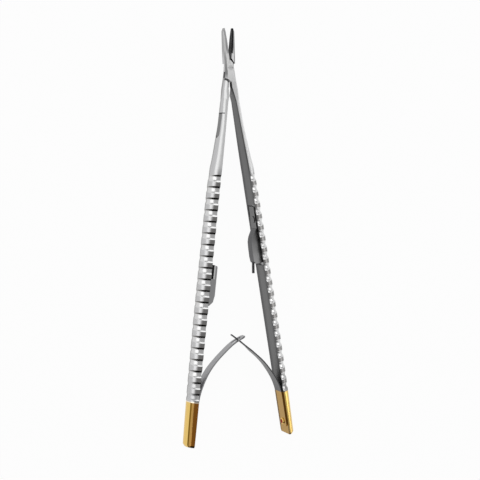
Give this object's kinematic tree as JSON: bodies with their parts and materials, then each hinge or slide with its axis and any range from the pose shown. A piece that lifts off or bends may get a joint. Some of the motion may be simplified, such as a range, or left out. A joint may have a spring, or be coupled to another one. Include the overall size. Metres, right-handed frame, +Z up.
{
  "type": "surgical needle holder",
  "caption": "Fine spring-opened needle holder with round grooved handles, lap joint, carbide-faced jaws, crossed leaf springs and a lock, lying open.",
  "frame": {"origin": "on the table under the middle of the tool's box, lying open on its handles", "axes": "+Y along the tool towards the jaw tips, +X across the opening towards the arm with the sprung latch, +Z up along the pivot axis"},
  "size_m": [0.0468, 0.1596, 0.008],
  "materials": {
    "arm_steel": "satin, with polished grooves and gold-plated ends",
    "carbide": "dark fine-ground",
    "spring_steel": "satin, gold-plated at the base",
    "rivet_gold": "gold-plated, polished",
    "screw_steel": "fine satin",
    "lock_steel": "satin",
    "pin_steel": "satin"
  },
  "bodies": {
    "left_arm": {"arm_left": "arm_steel", "jaw_insert_right": "carbide", "leaf_spring_left": "spring_steel", "leaf_rivet_left": "rivet_gold", "catch_block": "lock_steel", "catch_pin_upper": "pin_steel", "catch_pin_lower": "pin_steel"},
    "right_arm": {"arm_right": "arm_steel", "jaw_insert_left": "carbide", "leaf_spring_right": "spring_steel", "leaf_rivet_right": "rivet_gold", "pivot_screw": "screw_steel", "latch_pin": "pin_steel"},
    "latch": {"latch_strip": "lock_steel", "latch_block": "lock_steel", "latch_tongue": "screw_steel"}
  },
  "joints": [
    {"name": "jaw_hinge", "type": "hinge", "parent": "left_arm", "child": "right_arm", "pos_m": [0, 0.06471, 0.004], "axis": [0, 0, -1], "range_deg": [0, 11.4], "stiffness_Nm_per_rad": 1.2, "deforming": ["leaf_spring_left", "leaf_spring_right"]},
    {"name": "latch_flex", "type": "hinge", "parent": "right_arm", "child": "latch", "pos_m": [0.00859, 0.00613, 0.004], "axis": [-0.9905, -0.1376, 0], "range_deg": [0, 4], "stiffness_Nm_per_rad": 0.05}
  ]
}
